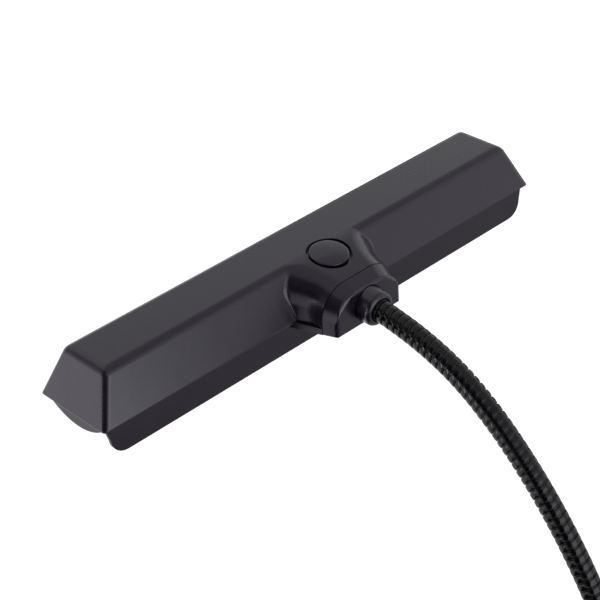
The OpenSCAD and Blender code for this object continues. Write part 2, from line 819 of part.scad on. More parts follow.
module battery_door() {
    inner_x = case_w / 2 - case_wall;
    web_x = inner_x - rail_w - part_fit - door_web_t / 2;
    lip_w = rail_w + door_web_t - part_fit;
    low = -case_foot;
    high = back_foot - part_fit;
    plate_in = case_rear + back_t;
    rail_z = low + case_wall + part_fit;
    rail_h = high - rail_z - 2;
    color(charcoal) difference() {
        union() {
            translate([-case_w / 2, case_rear, low]) cube([case_w, back_t, high - low]);
            for (s = [-1, 1]) {
                // web beside the ledge, and the lip behind the ledge
                translate([s * web_x - door_web_t / 2, plate_in - eps, rail_z])
                    cube([door_web_t, door_rail_depth + eps, rail_h]);
                translate([
                    s * (inner_x - part_fit - lip_w / 2) - lip_w / 2,
                    plate_in + door_rail_depth - door_lip_t,
                    rail_z]) cube([lip_w, door_lip_t, rail_h]);
            }
            // end wall that closes the slot in the foot
            translate([-inner_x + part_fit, plate_in - eps, low])
                cube([2 * (inner_x - part_fit), door_rail_depth + eps, case_wall]);
        }
        // finger grooves
        for (k = [0 : 4]) translate([0, case_rear, low + 5 + 4 * finger_groove_r * k])
            x_cylinder(finger_groove_r, finger_groove_len);
    }
}

module battery_cells() {
    color("silver") for (k = [0 : 2]) translate([0, cell_y, cell_z0 + k * cell_pitch]) {
        s = k == 1 ? -1 : 1;
        x_cylinder(cell_d / 2, cell_len - 2 * cell_tip);
        translate([s * (cell_len / 2 - cell_tip), 0, 0]) x_cylinder(2.7, 2 * cell_tip);
    }
}

module cell_springs() {
    plate_x = case_w / 2 - case_wall - contact_t;
    spring_len = plate_x - cell_len / 2 + cell_tip;
    turns = 6;
    wire = 0.55;
    pitch = (spring_len - 2 * wire - 0.1) / turns;
    color(steel) for (k = [0 : 2]) {
        s = k == 1 ? 1 : -1;
        translate([s * plate_x, cell_y, cell_z0 + k * cell_pitch]) rotate([0, -s * 90, 0])
            for (t = [0 : turns]) translate([0, 0, wire + 0.05 + t * pitch])
                rotate_extrude() translate([4.6 - 0.35 * t, 0]) circle(r = wire, $fn = 16);
    }
}

module cell_contacts() {
    inner_x = case_w / 2 - case_wall;
    color(steel) for (s = [-1, 1], k = [0 : 2])
        translate([s * (inner_x - contact_t / 2), cell_y, cell_z0 + k * cell_pitch])
            cube([contact_t, contact_w, contact_w], center = true);
}

module power_board() {
    color(board_green)
        translate([-case_w / 2 + case_wall + part_fit, case_mid - power_board_d / 2, power_board_z])
            cube([power_board_len, power_board_d, board_t]);
}

module usb_socket() {
    color(steel) translate([-case_w / 2 + 0.3, usb_y, usb_z]) difference() {
        translate([0, -usb_w / 2, -usb_t / 2]) cube([usb_len, usb_w, usb_t]);
        translate([-1, -usb_w / 2 + 0.4, -usb_t / 2 + 0.4]) cube([usb_len, usb_w - 0.8, usb_t - 0.8]);
    }
}

// Lead from the neck's ferrule to the power board.
module clip_lead() {
    start = [0, case_mid, boss_top - seat_depth - ferrule_len];
    color(black) rod(start, [0, case_mid, power_board_z + board_t], lead_r);
}

// Rubber pad with cross ribs on its gripping side; +Y is the gripping side.
module pad() {
    rib = 0.5;
    steps = floor(pad_h / 3);
    along_x(pad_w) polygon(concat(
        [[-pad_t, pad_h / 2], [-pad_t, -pad_h / 2]],
        [for (k = [0 : steps - 1]) for (p = [[0, 0], [0, 2], [-rib, 2], [-rib, 3]])
            [p[0], -pad_h / 2 + (k + p[1] / 3) * pad_h / steps]]));
}

module fixed_pad() color(black) translate([0, -pad_gap / 2, 0]) pad();

module jaw_pad() color(black) translate([0, pad_gap / 2, 0]) mirror([0, 1, 0]) pad();

// The lever's side profile: jaw plate, elbow outside the hinge, thumb plate.
module lever_profile() {
    t = lever_t;
    polygon([
        [lever_in, lever_foot], [lever_in + t, lever_foot], [lever_in + t, elbow_z - jaw_bend_h],
        [elbow_y + t, elbow_z], [elbow_y + t, thumb_foot_z], [thumb_top[0] + t, thumb_top[1]],
        [thumb_top[0] + t / 2, thumb_top[1] + 1], [thumb_top[0], thumb_top[1]],
        [elbow_y, thumb_foot_z + 0.6], [elbow_y, elbow_z + 1], [lever_in, elbow_z + 1 - jaw_bend_h]]);
}

module jaw_lever() {
    color(charcoal) difference() {
        union() {
            along_x(lever_w) lever_profile();
            for (s = [-1, 1]) translate([s * (lever_w - ear_t) / 2, 0, 0]) {
                translate([0, hinge_y, hinge_z]) x_cylinder(eye_r, ear_t);
                translate([-ear_t / 2, hinge_y, hinge_z - eye_r])
                    cube([ear_t, elbow_y - hinge_y + 0.5, 2 * eye_r]);
            }
            // grip ribs on the thumb plate
            for (k = [0 : 4]) translate([0, elbow_y + lever_t, thumb_foot_z]) rotate([-thumb_face_lean, 0, 0])
                translate([0, 0.2, thumb_len * 0.38 + 3.2 * k]) x_cylinder(0.8, lever_w - 20);
        }
        translate([0, hinge_y, hinge_z]) x_cylinder(pin_d / 2 + pin_fit, lever_w + 2);
    }
}

module hinge_pin() {
    color(steel) translate([0, hinge_y, hinge_z]) x_cylinder(pin_d / 2, lever_w - 0.8);
}

// Torsion spring on the pin: a close coil with one arm on the case and one on the lever.
module jaw_spring() {
    pitch = 2 * spring_wire - 0.08;
    end_x = (spring_coils - 1) / 2 * pitch;
    color(steel) translate([0, hinge_y, hinge_z]) {
        for (k = [0 : spring_coils - 1]) translate([k * pitch - end_x, 0, 0])
            rotate([0, 90, 0]) rotate_extrude()
                translate([spring_coil_r, 0]) circle(r = spring_wire, $fn = 16);
        translate([-end_x, -spring_coil_r, 0]) rotate([spring_case_lean, 0, 0])
            cylinder(r = spring_wire, h = spring_arm);
        translate([end_x, spring_coil_r, 0]) rotate([-spring_lever_lean, 0, 0])
            cylinder(r = spring_wire, h = spring_arm);
    }
}

head_shell();
neck_cover();
light_frame();
lens();
reflector();
led_board();
leds();
switch_board();
push_switch();
switch_plunger();
power_button();
frame_screws();
head_ferrule();
head_nut();
head_lead();
neck_link(1);  // neck_link_01
neck_link(2);  // neck_link_02
neck_link(3);  // neck_link_03
neck_link(4);  // neck_link_04
neck_link(5);  // neck_link_05
neck_link(6);  // neck_link_06
neck_link(7);  // neck_link_07
neck_link(8);  // neck_link_08
neck_link(9);  // neck_link_09
neck_link(10);  // neck_link_10
neck_link(11);  // neck_link_11
neck_link(12);  // neck_link_12
neck_link(13);  // neck_link_13
neck_link(14);  // neck_link_14
clip_ferrule();
clip_nut();
clip_lead();
clip_case();
case_back();
case_screws();
battery_door();
battery_cells();
cell_springs();
cell_contacts();
power_board();
usb_socket();
fixed_pad();
jaw_lever();
jaw_pad();
hinge_pin();
jaw_spring();
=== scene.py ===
"""Clip-on reading lamp: the looks of its head, gooseneck and spring clip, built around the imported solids."""

import json
import math

import bpy
from bpy.props import FloatProperty, FloatVectorProperty, IntProperty, PointerProperty
from bpy.types import Operator, Panel, PropertyGroup
from mathutils import Matrix, Vector


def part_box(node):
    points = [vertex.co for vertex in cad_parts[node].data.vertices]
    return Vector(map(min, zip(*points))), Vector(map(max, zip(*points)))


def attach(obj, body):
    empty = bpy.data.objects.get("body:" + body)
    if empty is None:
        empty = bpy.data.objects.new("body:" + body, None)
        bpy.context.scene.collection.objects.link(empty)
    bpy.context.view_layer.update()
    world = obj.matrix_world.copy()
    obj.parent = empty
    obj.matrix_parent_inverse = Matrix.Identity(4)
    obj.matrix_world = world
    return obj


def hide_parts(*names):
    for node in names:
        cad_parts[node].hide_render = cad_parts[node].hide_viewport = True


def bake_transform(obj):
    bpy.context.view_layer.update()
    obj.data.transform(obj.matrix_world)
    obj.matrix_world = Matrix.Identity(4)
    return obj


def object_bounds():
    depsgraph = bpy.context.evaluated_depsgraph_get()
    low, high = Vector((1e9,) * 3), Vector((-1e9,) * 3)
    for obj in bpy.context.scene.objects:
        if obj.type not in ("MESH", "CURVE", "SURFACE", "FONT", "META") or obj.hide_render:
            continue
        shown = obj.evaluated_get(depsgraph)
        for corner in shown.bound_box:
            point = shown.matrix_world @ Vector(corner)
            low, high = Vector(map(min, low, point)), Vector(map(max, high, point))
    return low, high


bl_info = {
    "name": "Clip-on reading lamp",
    "version": (1, 0, 0),
    "blender": (4, 5, 0),
    "location": "View3D > Sidebar > Lamp",
    "description": "Models the visible pieces of a clip-on reading lamp and their finishes",
    "category": "Object",
}

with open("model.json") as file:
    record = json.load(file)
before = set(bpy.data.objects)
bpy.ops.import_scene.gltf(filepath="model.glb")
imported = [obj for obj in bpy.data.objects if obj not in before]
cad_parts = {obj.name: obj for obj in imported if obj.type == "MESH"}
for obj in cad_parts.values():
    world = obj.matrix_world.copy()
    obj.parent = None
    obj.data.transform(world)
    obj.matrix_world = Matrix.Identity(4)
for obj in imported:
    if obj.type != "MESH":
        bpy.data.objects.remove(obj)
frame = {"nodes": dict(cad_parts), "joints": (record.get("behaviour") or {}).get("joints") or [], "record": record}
cad_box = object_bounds()

# The head's places are measured from HEAD, the middle of its roof, and the neck leaves it towards -Y
shell_low, shell_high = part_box("head_shell")
RIM_LENGTH = shell_high.x - shell_low.x
RIM_DEPTH = 0.0438
HEAD = Vector((0, shell_high.y - RIM_DEPTH / 2, shell_high.z))
NECK_RISE = math.radians(11)
NECK_WAY = Vector((0, math.cos(NECK_RISE), math.sin(NECK_RISE)))
NECK_DROP = 0.0181

MM = 0.001
ON_CUT = 1e-7  # Points nearer to a cutting plane lie on it
WELD = 1e-6  # Points nearer to each other become one
AXIS = 1e-6  # Radius at which a turned shape closes on its axis
TOUCH = 1e-5  # How far a point may be from the place that it is chosen by
SLACK = 1e-4  # The same where a boolean or a weld has moved points


def length(label, text, default):
    return FloatProperty(name=label, description=text, default=default, unit="LENGTH", precision=5)


def angle(label, text, default):
    return FloatProperty(name=label, description=text, default=default, subtype="ANGLE")


def tint(label, text, default):
    return FloatVectorProperty(
        name=label, description=text, default=default, size=4, subtype="COLOR", min=0, max=1
    )


def share(label, text, default):
    return FloatProperty(name=label, description=text, default=default, min=0, max=1, subtype="FACTOR")


def power(label, text, default):
    return FloatProperty(name=label, description=text, default=default, unit="POWER")


# ---------------- settings


class HeadSettings(PropertyGroup):
    roof_length: length("Roof length", "Length of the shell's flat roof", 0.2452)
    roof_depth: length("Roof depth", "Depth of the shell's flat roof", 0.0275)
    height: length("Shell height", "Height from the rim to the roof", 0.0229)
    wall: length("Wall", "Thickness of the shell's walls", 0.002)
    roof_round: length("Roof edge", "Setback of the rounded roof edges", 0.0034)
    corner_round: length("Corner edge", "Setback of the rounded sloping corners", 0.003)
    rim_round: length("Rim edge", "Setback of the rounded rim", 0.0011)
    shield_height: length("Shield height", "Height of the glare shield below the rim", 0.015)
    shield_bow: length("Shield bow", "How far the shield's top stands back from its lower edge", 0.0008)
    junction_round: length("Junction", "Setback of the hollow between hood and shell", 0.0009)
    seam_reach: length("Seam", "Distance from the middle of the head to the hood's seam", 0.034)
    hood_start: length("Hood start", "Distance from the middle of the head to the start of the slope", 0.0138)
    seam_drop: length("Seam drop", "Depth of the hood's top below the roof at the seam", 0.0051)
    seam_half: length("Seam half width", "Half the hood's width at the seam", 0.0222)
    root_half: length("Root half width", "Half the hood's width where it leaves the roof", 0.03)
    chamfer: length("Shoulder", "Setback of the slanted shoulders", 0.0081)
    ridge_round: length("Shoulder edge", "Setback of the rounded shoulder edges", 0.005)


class CoverSettings(PropertyGroup):
    reach: length("Front", "Distance from the middle of the head to the cover's front face", 0.041)
    drop: length("Front drop", "Depth of the cover's top below the roof at its front face", 0.0082)
    half: length("Front half width", "Half the cover's width at its front face", 0.0196)
    seam_gap: length("Seam gap", "Gap between the hood and the cover", 0.0003)
    front_round: length("Front edge", "Setback of the rounded front edges", 0.0016)
    boss_radius: length("Boss radius", "Radius of the boss round the neck", 0.0083)
    boss_tilt: angle("Boss tilt", "Rise of the boss into the cover", math.radians(5))
    boss_gap: length("Boss gap", "Gap round the boss in the cover's front face", 0.0004)
    boss_length: length("Boss length", "Length of the boss outside the cover", 0.0076)
    mouth_radius: length("Mouth radius", "Radius of the boss's mouth", 0.0057)
    boss_round: length("Boss edge", "Radius of the boss's rounded front edge", 0.0024)


class ButtonSettings(PropertyGroup):
    reach: length("Place", "Distance from the middle of the head to the button", 0.0176)
    radius: length("Radius", "Radius of the cap", 0.009)
    hole: length("Hole radius", "Radius of the hole round the cap", 0.0104)
    sink: length("Place in height", "Depth of the cap's rim below the roof", 0.00095)
    lean: angle("Lean", "Lean of the cap towards the neck", math.radians(9))
    crown: length("Crown", "Height of the cap's middle above its rim", 0.00085)


class NeckSettings(PropertyGroup):
    radius: length("Radius", "Outer radius over the coils", 0.00515)
    link: length("Joint spacing", "Distance between neighbouring joints", 0.0220002)
    coils: IntProperty(name="Coils", description="Coils between neighbouring joints", default=6, min=1)
    steps: IntProperty(name="Steps", description="Sides of the coil's round section", default=40, min=12)


class ClipSettings(PropertyGroup):
    moulded_round: length("Moulded edge", "Setback of the rounded edges of the moulded pieces", 0.0009)
    fine_round: length("Fine edge", "Setback of the rounded edges of small pieces", 0.0003)
    spring_half: length("Spring bend", "Distance from the hinge where the spring's arms are straight", 0.003)


class FinishSettings(PropertyGroup):
    head: tint("Head plastic", "Colour of the head's moulded plastic", (0.0062, 0.0043, 0.0098, 1))
    clip: tint("Clip plastic", "Colour of the clip's moulded plastic", (0.019, 0.0182, 0.0212, 1))
    neck: tint("Neck lacquer", "Colour of the neck's lacquer", (0.0015, 0.0015, 0.0016, 1))
    rubber: tint("Rubber", "Colour of the jaw pads", (0.03, 0.03, 0.031, 1))
    diffuser: tint("Diffuser", "Colour of the frosted lens", (0.9, 0.92, 0.93, 1))
    head_roughness: share("Head roughness", "Roughness of the head's plastic", 0.26)
    neck_roughness: share("Neck roughness", "Roughness of the neck's lacquer", 0.16)


class StageSettings(PropertyGroup):
    floor: tint("Floor", "Colour of the floor", (0.86, 0.86, 0.86, 1))
    key_power: power("Key light", "Power of the main soft light", 1.5)
    strip_power: power("Strip light", "Power of the narrow light", 1.1)
    fill_power: power("Fill light", "Power of the light in front", 0.7)
    rim_power: power("Back light", "Power of the light behind", 0.5)
    lens: FloatProperty(name="Camera lens", description="Focal length", default=98.58, unit="CAMERA")
    ambient: share("Ambient", "Strength of the soft light from all sides", 0.6)
    floor_glow: share("Floor lift", "What lifts the floor to white where it is seen", 0.5)


class LampSettings(PropertyGroup):
    head: PointerProperty(type=HeadSettings)
    cover: PointerProperty(type=CoverSettings)
    button: PointerProperty(type=ButtonSettings)
    neck: PointerProperty(type=NeckSettings)
    clip: PointerProperty(type=ClipSettings)
    finish: PointerProperty(type=FinishSettings)
    stage: PointerProperty(type=StageSettings)


def settings():
    return bpy.context.scene.reading_lamp


# ---------------- modelling helpers


def deselect_all():
    if bpy.context.object and bpy.context.object.mode != "OBJECT":
        bpy.ops.object.mode_set(mode="OBJECT")
    bpy.ops.object.select_all(action="DESELECT")


def pick(piece):
    """Makes the piece the only one that operators act on."""
    deselect_all()
    piece.select_set(True)
    bpy.context.view_layer.objects.active = piece


def named(name):
    """Names the object that an operator has just made."""
    piece = bpy.context.object
    piece.name = piece.data.name = name
    return piece


def settle(piece):
    """Leaves the piece's object at the origin, with its place in its mesh."""
    pick(piece)
    bpy.ops.object.transform_apply(location=True, rotation=True, scale=True)
    return piece


def add_block(name, low, high):
    deselect_all()
    low, high = Vector(low), Vector(high)
    bpy.ops.mesh.primitive_cube_add(size=1, location=(low + high) / 2, scale=high - low)
    return settle(named(name))


def add_modifier(piece, kind, **values):
    """Adds a modifier with these values and applies it."""
    pick(piece)
    bpy.ops.object.modifier_add(type=kind)
    modifier = piece.modifiers[-1]
    for key, value in values.items():
        setattr(modifier, key, value)
    bpy.ops.object.modifier_apply(modifier=modifier.name)


def combine(piece, tool, operation):
    """Joins or cuts, and deletes the tool."""
    add_modifier(piece, "BOOLEAN", operation=operation, object=tool, solver="EXACT")
    bpy.data.objects.remove(tool)


def choose(piece, kind, wanted):
    """Selects the vertices or edges that pass the test, and opens the piece for editing."""
    pick(piece)
    mesh = piece.data
    for group in (mesh.vertices, mesh.edges, mesh.polygons):
        group.foreach_set("select", [False] * len(group))
    if kind == "VERT":
        for v in mesh.vertices:
            v.select = wanted(v.co)
    else:
        places = [v.co for v in mesh.vertices]
        for e in mesh.edges:
            e.select = wanted(places[e.vertices[0]], places[e.vertices[1]])
    bpy.context.tool_settings.mesh_select_mode = (kind == "VERT", kind == "EDGE", False)
    bpy.ops.object.mode_set(mode="EDIT")


def choose_all(piece):
    choose(piece, "VERT", lambda place: True)


def close_edit():
    bpy.ops.object.mode_set(mode="OBJECT")


def cut_through(piece, point, normal, drop=False):
    """Cuts the piece by a plane; drop takes away the normal's side and closes the other."""
    choose_all(piece)
    bpy.ops.mesh.bisect(
        plane_co=point, plane_no=normal, use_fill=drop, clear_outer=drop, threshold=ON_CUT
    )
    close_edit()


def widen(piece, wanted, factors, centre):
    choose(piece, "VERT", wanted)
    bpy.ops.transform.resize(value=factors, center_override=centre)
    close_edit()


def shift(piece, wanted, move):
    choose(piece, "VERT", wanted)
    bpy.ops.transform.translate(value=move)
    close_edit()


def round_chosen(piece, wanted, setback, segments):
    choose(piece, "EDGE", wanted)
    bpy.ops.mesh.bevel(offset=setback, segments=segments, affect="EDGES", clamp_overlap=True)
    close_edit()


def round_by_weight(piece, weigh, setback, segments, clamp):
    """Rounds every edge that turns by more than 4 degrees, each by its own share of the setback."""
    mesh = piece.data
    turn = {}
    for face in mesh.polygons:
        for key in face.edge_keys:
            turn.setdefault(key, []).append(face.normal.copy())
    layer = mesh.attributes.new("bevel_weight_edge", "FLOAT", "EDGE")
    for edge in mesh.edges:
        normals = turn.get(tuple(sorted(edge.vertices)), [])
        bend = normals[0].angle(normals[1]) if len(normals) == 2 else 0
        a, b = mesh.vertices[edge.vertices[0]].co, mesh.vertices[edge.vertices[1]].co
        layer.data[edge.index].value = weigh(a, b) if bend > math.radians(4) else 0
    add_modifier(
        piece, "BEVEL", width=setback, segments=segments, limit_method="WEIGHT", use_clamp_overlap=clamp
    )


def tidy_mesh(piece, weld=WELD):
    """Merges doubles and takes out the edges within flat faces."""
    choose_all(piece)
    bpy.ops.mesh.remove_doubles(threshold=weld)
    bpy.ops.mesh.dissolve_limited(angle_limit=math.radians(0.6))
    close_edit()


def smooth(piece, limit=math.radians(32)):
    pick(piece)
    bpy.ops.object.shade_smooth_by_angle(angle=limit)
    add_modifier(piece, "WEIGHTED_NORMAL", keep_sharp=True, weight=60)
    return piece


def rounded_copy(node, name, setback):
    """A copy of a solid with its doubles merged and its sharp edges rounded, which then stands for it."""
    pick(frame["nodes"][node])
    bpy.ops.object.duplicate(linked=False)
    piece = named(name)
    for key in list(piece.keys()):
        del piece[key]
    piece.parent = None
    piece.matrix_world = Matrix.Identity(4)
    piece.data.materials.clear()
    tidy_mesh(piece)
    if setback:
        add_modifier(
            piece, "BEVEL", width=setback, segments=2, limit_method="ANGLE",
            angle_limit=math.radians(30), use_clamp_overlap=True,
        )
    return smooth(piece)


def turned(name, profile, base, way, sides=72):
    """Draws a shape out of one ring after another, given as (radius, height) along the way from its base."""
    deselect_all()
    radius, height = profile[0]
    bpy.ops.mesh.primitive_circle_add(vertices=sides, radius=radius, location=(0, 0, height))
    piece = settle(named(name))
    choose(piece, "EDGE", lambda a, b: True)
    for next_radius, next_height in profile[1:]:
        bpy.ops.mesh.extrude_region_move(TRANSFORM_OT_translate={"value": (0, 0, next_height - height)})
        factor = next_radius / radius
        bpy.ops.transform.resize(value=(factor, factor, 1), center_override=(0, 0, 0))
        radius, height = next_radius, next_height
    bpy.ops.mesh.select_all(action="SELECT")
    bpy.ops.mesh.remove_doubles(threshold=WELD)
    bpy.ops.mesh.normals_make_consistent(inside=False)
    close_edit()
    turn = Vector(way).to_track_quat("Z", "Y").to_matrix().to_4x4()
    piece.matrix_world = Matrix.Translation(base) @ turn
    return settle(piece)


def plug(radius, low, high):
    """The profile of a round plug that turned() makes."""
    return [(AXIS, low), (radius, low), (radius, high), (AXIS, high)]


def mounted(piece, body, slot, *nodes, finish=None):
    """Gives a piece its slot's finish or another, and its body, and lets it stand for its solids."""
    piece.data.materials.clear()
    piece.data.materials.append(lamp_finish(finish or slot))
    if nodes:
        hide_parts(*nodes)
    if body:
        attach(piece, body)


# ---------------- finishes


class NodeBench:
    """Adds and joins shader nodes, for short material recipes."""

    def __init__(self, name):
        self.material = bpy.data.materials.new(name)
        self.material.use_nodes = True
        self.tree = self.material.node_tree
        self.shader = self.tree.nodes["Principled BSDF"]
        self.place = self.add("ShaderNodeTexCoord").outputs["Object"]

    def add(self, kind, **values):
        """Adds a node; a value goes to the node's own setting or, where it has none, to its input."""
        node = self.tree.nodes.new(kind)
        for key, value in values.items():
            if hasattr(node, key):
                setattr(node, key, value)
            else:
                node.inputs[key.replace("_", " ")].default_value = value
        return node

    def join(self, output, socket):
        self.tree.links.new(output, socket)

    def noise(self, scale, detail=3, roughness=0.5, place=None):
        node = self.add("ShaderNodeTexNoise", Scale=scale, Detail=detail, Roughness=roughness)
        self.join(place or self.place, node.inputs["Vector"])
        return node.outputs["Fac"]

    def spread(self, value, low, high, from_low=0.3, from_high=0.7):
        """Turns the middle of a noise into the whole run from low to high."""
        node = self.add("ShaderNodeMapRange")
        limits = {"From Min": from_low, "From Max": from_high, "To Min": low, "To Max": high}
        for socket, number in limits.items():
            node.inputs[socket].default_value = number
        self.join(value, node.inputs["Value"])
        return node.outputs["Result"]

    def blend(self, value, first, second):
        node = self.add("ShaderNodeMix", data_type="RGBA")
        self.join(value, node.inputs["Factor"])
        for socket, colour in ((node.inputs[6], first), (node.inputs[7], second)):
            if isinstance(colour, bpy.types.NodeSocket):
                self.join(colour, socket)
            else:
                socket.default_value = colour
        return node.outputs[2]

    def mottle(self, value, colour, dark, light=1):
        """Lets a colour run from a darker shade of itself to a lighter one."""
        return self.blend(self.spread(value, 0, 1), shade(colour, dark), shade(colour, light))

    def bump(self, height, depth, strength=1.0, under=None):
        node = self.add("ShaderNodeBump", Strength=strength, Distance=depth)
        self.join(height, node.inputs["Height"])
        if under:
            self.join(under, node.inputs["Normal"])
        return node.outputs["Normal"]

    def stretched(self, factors):
        node = self.add("ShaderNodeMapping")
        node.inputs["Scale"].default_value = factors
        self.join(self.place, node.inputs["Vector"])
        return node.outputs["Vector"]

    def dress(self, **outputs):
        """Joins outputs to the shader's sockets, with _ for a space in their names."""
        for key, output in outputs.items():
            self.join(output, self.shader.inputs[key.replace("_", " ")])

    def set(self, **values):
        """Sets the shader's sockets, with _ for a space in their names."""
        for key, value in values.items():
            self.shader.inputs[key.replace("_", " ")].default_value = value

    def surface(self, output):
        self.join(output, self.tree.nodes["Material Output"].inputs["Surface"])


def shade(colour, factor):
    return tuple(min(1, c * factor) for c in colour[:3]) + (1,)


def moulded_plastic(bench, colour, roughness, grain=2600, sheen=0.56):
    """Satin moulded plastic: fine spark texture, faint cloudiness and a little handling shine."""
    bench.dress(Base_Color=bench.mottle(bench.noise(38, 4, 0.6), colour, 0.93, 1.07))
    bench.dress(Roughness=bench.spread(bench.noise(70, 5, 0.65), roughness - 0.045, roughness + 0.045))
    fine = bench.noise(grain, 2, 0.5)
    coarse = bench.noise(grain / 5, 3, 0.5)
    bench.dress(Normal=bench.bump(fine, 0.00002, 0.6, bench.bump(coarse, 0.00002, 0.2)))
    bench.set(IOR=1.5, Specular_IOR_Level=sheen, Specular_Tint=(0.91, 0.87, 1, 1))


def coil_lacquer(bench, colour, roughness):
    """Glossy black lacquer over wound steel, slightly uneven, with faint specks of dust."""
    dust = bench.spread(bench.noise(900, 4, 0.6), 0, 1, 0.45, 0.8)
    bench.dress(
        Base_Color=bench.blend(dust, colour, shade(colour, 1.7)),
        Roughness=bench.spread(bench.noise(260, 4, 0.6), roughness - 0.05, roughness + 0.08),
        Normal=bench.bump(bench.noise(700, 3, 0.5), 0.00006, 0.35),
    )
    bench.set(IOR=1.5, Specular_IOR_Level=0.31, Specular_Tint=(0.96, 0.92, 1, 1))


def matt_rubber(bench, colour):
    """Matt black rubber with a fine grain and a slightly worn colour."""
    bench.dress(
        Base_Color=bench.mottle(bench.noise(160, 4, 0.6), colour, 0.85, 1.25),
        Roughness=bench.spread(bench.noise(90, 3), 0.72, 0.86),
        Normal=bench.bump(bench.noise(2200, 3, 0.6), 0.00005, 0.6),
    )


def brushed_metal(bench, colour, roughness, run=(8, 900, 900)):
    """Bare metal with fine drawn lines along its length."""
    lines = bench.noise(1, 4, 0.7, bench.stretched(run))
    bench.dress(
        Base_Color=bench.mottle(lines, colour, 0.82, 1.1),
        Roughness=bench.spread(lines, roughness - 0.06, roughness + 0.1),
        Normal=bench.bump(lines, 0.00002, 0.4),
    )
    bench.set(Metallic=1.0)


def frosted_diffuser(bench, colour):
    """Frosted clear plastic with fine ribs along the head."""
    ribs = bench.add("ShaderNodeTexWave", wave_type="BANDS", bands_direction="Y", Scale=180)
    bench.join(bench.place, ribs.inputs["Vector"])
    frost = bench.noise(1900, 3, 0.6)
    bench.dress(
        Normal=bench.bump(frost, 0.00004, 0.4, bench.bump(ribs.outputs["Fac"], 0.0002, 0.6)),
        Roughness=bench.spread(bench.noise(120, 4), 0.3, 0.42),
        Base_Color=bench.mottle(bench.noise(25, 2), colour, 0.96),
    )
    bench.set(Transmission_Weight=0.55, IOR=1.49)


def white_moulding(bench, colour):
    """White moulded plastic, faintly cloudy, for the reflector and the sockets."""
    bench.dress(
        Base_Color=bench.mottle(bench.noise(60, 4), colour, 0.95),
        Roughness=bench.spread(bench.noise(110, 3), 0.28, 0.38),
        Normal=bench.bump(bench.noise(1500, 2), 0.00002, 0.4),
    )


def circuit_board(bench):
    """Green solder mask over copper runs, with pale tinned dots."""
    runs = bench.add("ShaderNodeTexBrick", Scale=120.0, Mortar_Size=0.05, Brick_Width=0.9, Row_Height=0.25)
    bench.join(bench.place, runs.inputs["Vector"])
    dark_green, light_green, tin = (0.012, 0.13, 0.06, 1), (0.03, 0.24, 0.11, 1), (0.6, 0.6, 0.56, 1)
    mask = bench.blend(runs.outputs["Fac"], dark_green, light_green)
    dots = bench.add("ShaderNodeTexVoronoi", Scale=260.0)
    bench.join(bench.place, dots.inputs["Vector"])
    bench.dress(
        Base_Color=bench.blend(bench.spread(dots.outputs["Distance"], 1, 0, 0.16, 0.2), mask, tin),
        Roughness=bench.spread(bench.noise(200, 3), 0.28, 0.42),
        Normal=bench.bump(runs.outputs["Fac"], 0.00004, 0.5),
    )


def led_phosphor(bench):
    """Yellow phosphor with a fine speckle, as on a white LED that is off."""
    speck = bench.noise(1400, 3, 0.6)
    amber, yellow = (0.86, 0.72, 0.22, 1), (0.92, 0.82, 0.4, 1)
    bench.dress(
        Base_Color=bench.blend(bench.spread(speck, 0, 1), amber, yellow),
        Roughness=bench.spread(speck, 0.35, 0.5),
        Normal=bench.bump(speck, 0.00004, 0.4),
    )


def cell_wrap(bench):
    """A battery cell's wrap: a dark body with a copper-coloured band, told by its place along X."""
    split = bench.add("ShaderNodeSeparateXYZ")
    bench.join(bench.place, split.inputs["Vector"])
    band = bench.spread(split.outputs["X"], 0, 1, 0.0118, 0.012)
    sheen = bench.noise(300, 3, 0.6, bench.stretched((0.1, 1, 1)))
    black, charcoal, copper = (0.02, 0.02, 0.022, 1), (0.035, 0.035, 0.038, 1), (0.55, 0.27, 0.11, 1)
    body = bench.blend(bench.spread(sheen, 0, 1), black, charcoal)
    bench.dress(
        Base_Color=bench.blend(band, body, copper),
        Roughness=bench.spread(sheen, 0.22, 0.34),
        Normal=bench.bump(sheen, 0.00002, 0.3),
    )


def finish_recipes():
    """What makes each finish, and from which values."""
    own = settings().finish
    gloss = own.head_roughness
    return {
        "head_plastic": (moulded_plastic, own.head, gloss),
        "frame_plastic": (moulded_plastic, own.head, gloss + 0.06, 2600, 0.42),
        "button_plastic": (moulded_plastic, own.head, gloss - 0.06, 3400),
        "clip_plastic": (moulded_plastic, own.clip, gloss + 0.02),
        "black_plastic": (moulded_plastic, (0.03, 0.03, 0.031, 1), 0.4),
        "neck_rings": (coil_lacquer, own.neck, own.neck_roughness),
        "lead_insulation": (matt_rubber, (0.04, 0.04, 0.041, 1)),
        "pad_rubber": (matt_rubber, own.rubber),
        "lens_diffuser": (frosted_diffuser, own.diffuser),
        "white_plastic": (white_moulding, (0.84, 0.84, 0.82, 1)),
        "circuit_board": (circuit_board,),
        "led_phosphor": (led_phosphor,),
        "steel": (brushed_metal, (0.56, 0.56, 0.57, 1), 0.32),
        "nickel": (brushed_metal, (0.7, 0.68, 0.63, 1), 0.22, (500, 500, 500)),
        "cell_wrap": (cell_wrap,),
    }


made_finishes = {}


def lamp_finish(name):
    """A finish of the lamp, made once and shared by its pieces."""
    if name not in made_finishes:
        recipe, *values = finish_recipes()[name]
        bench = NodeBench(name)
        recipe(bench, *values)
        made_finishes[name] = bench.material
    return made_finishes[name]


# ---------------- head

